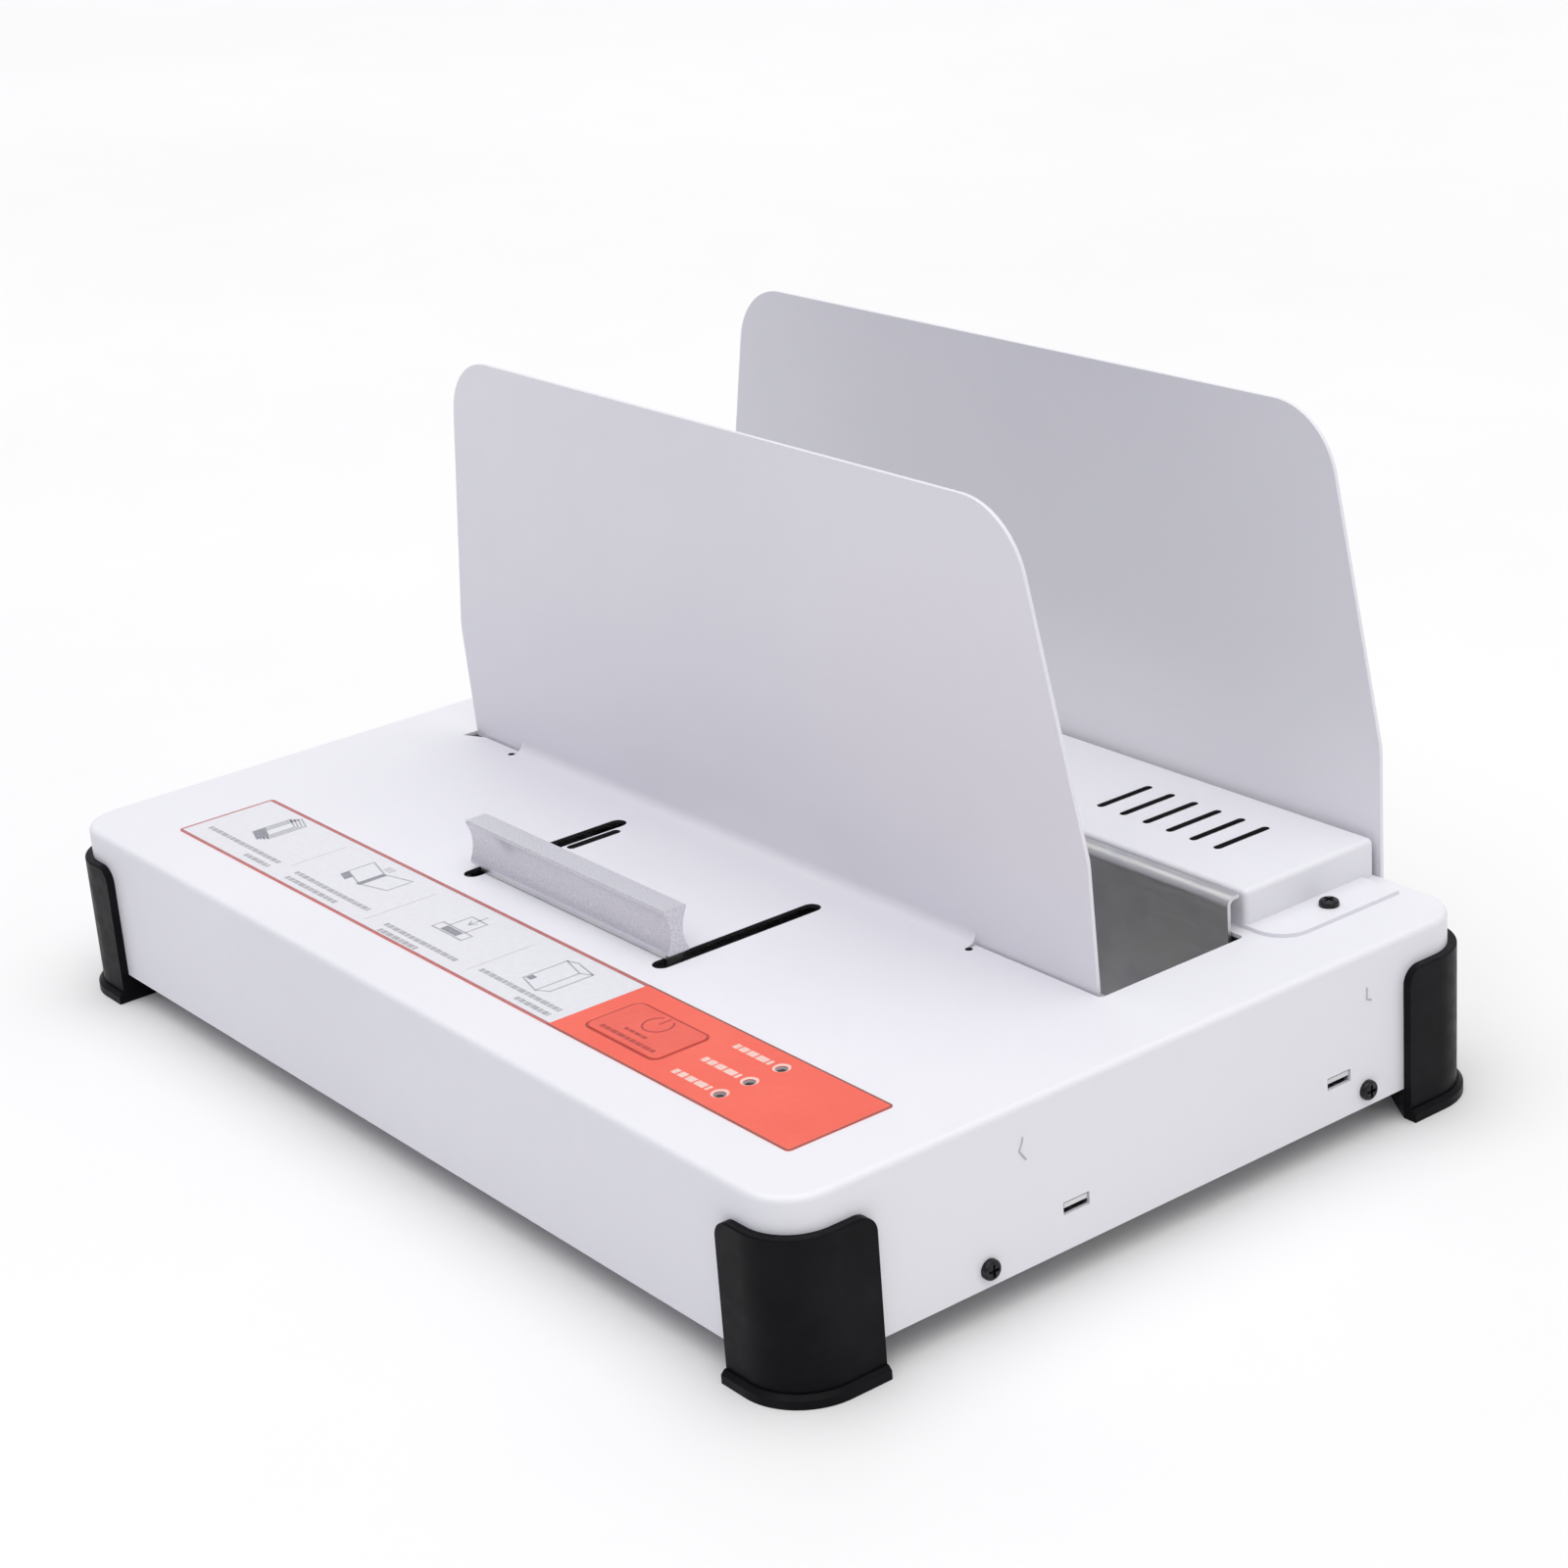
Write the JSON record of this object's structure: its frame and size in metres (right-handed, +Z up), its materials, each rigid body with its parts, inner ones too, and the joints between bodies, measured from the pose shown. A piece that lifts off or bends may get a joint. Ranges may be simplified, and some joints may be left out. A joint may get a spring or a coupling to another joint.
{
  "type": "thermal binding machine",
  "caption": "Low white sheet-metal desk machine with a heated book well between two upright guide plates, corner feet, a sliding clamp handle and a control strip.",
  "frame": {"origin": "on the table, under the middle of the body's plan, at the soles of the feet", "axes": "+X to the right along the long side, +Y from the front edge with the control strip to the back, +Z up"},
  "size_m": [0.3912, 0.2622, 0.1968],
  "materials": {
    "white_paint": "fine-textured powder coat, satin",
    "plated_steel": "zinc plated",
    "black_steel": "black oxide",
    "foot_rubber": "soft sheen",
    "handle_aluminium": "bead blasted, natural",
    "plate_aluminium": "milled",
    "label_film": "printed polyester film, satin",
    "key_plastic": "satin",
    "lamp_plastic": "clear dark",
    "board_laminate": "solder mask",
    "black_plastic": "fine texture",
    "blue_plastic": "smooth",
    "green_plastic": "smooth",
    "pad_silicone": "matt",
    "ceramic_white": "unglazed",
    "bearing_plastic": "smooth acetal",
    "brass": "plain",
    "core_steel": "laminated, varnished",
    "wire_cover": "vinyl"
  },
  "bodies": {
    "machine": {"top_cover": "white_paint", "base_pan": "plated_steel", "foot_front_right": "foot_rubber", "foot_front_left": "foot_rubber", "foot_rear_right": "foot_rubber", "foot_rear_left": "foot_rubber", "foot_screws": "plated_steel", "cover_screws": "black_steel", "rear_housing": "white_paint", "housing_screws": "black_steel", "rear_guide_plate": "white_paint", "guide_plate_screws": "black_steel", "rear_jaw": "plated_steel", "pan_screws": "plated_steel", "guide_rods": "plated_steel", "rod_brackets": "plated_steel", "heating_plate": "plate_aluminium", "heater_pad": "pad_silicone", "heater_clamp": "plated_steel", "heater_spacers": "ceramic_white", "heater_screws": "plated_steel", "thermostat": "plated_steel", "heat_shield": "plated_steel", "control_label": "label_film", "key_switch": "black_plastic", "indicator_lights": "lamp_plastic", "control_board": "board_laminate", "control_chip": "black_plastic", "buzzer": "black_plastic", "board_standoffs": "brass", "board_screws": "plated_steel", "power_board": "board_laminate", "power_standoffs": "brass", "transformer": "core_steel", "relay": "blue_plastic", "capacitor": "blue_plastic", "terminal_block": "green_plastic", "power_inlet": "black_plastic", "inlet_pins": "brass", "rocker_housing": "black_plastic", "earth_stud": "brass", "mains_leads": "wire_cover", "heater_leads": "wire_cover", "control_cable": "wire_cover"},
    "clamp_slide": {"front_jaw": "plated_steel", "jaw_screws": "plated_steel", "clamp_yoke": "plated_steel", "handle_bracket": "plated_steel", "bracket_screws": "plated_steel", "pull_handle": "handle_aluminium", "handle_screws": "plated_steel", "slide_block_right": "bearing_plastic", "slide_block_left": "bearing_plastic"},
    "power_key": {"power_key": "key_plastic"},
    "rocker": {"switch_rocker": "black_plastic"}
  },
  "joints": [
    {"name": "clamp_travel", "type": "slide", "parent": "machine", "child": "clamp_slide", "axis": [0, 1, 0], "range_m": [-0.0041, 0.0447]},
    {"name": "power_key_press", "type": "slide", "parent": "machine", "child": "power_key", "axis": [0, 0, -1], "range_m": [0, 0.0006], "stiffness_N_per_m": 3000},
    {"name": "rocker_tilt", "type": "hinge", "parent": "machine", "child": "rocker", "pos_m": [-0.092, 0.124, 0.024], "axis": [1, 0, 0], "range_deg": [0, 16]}
  ]
}
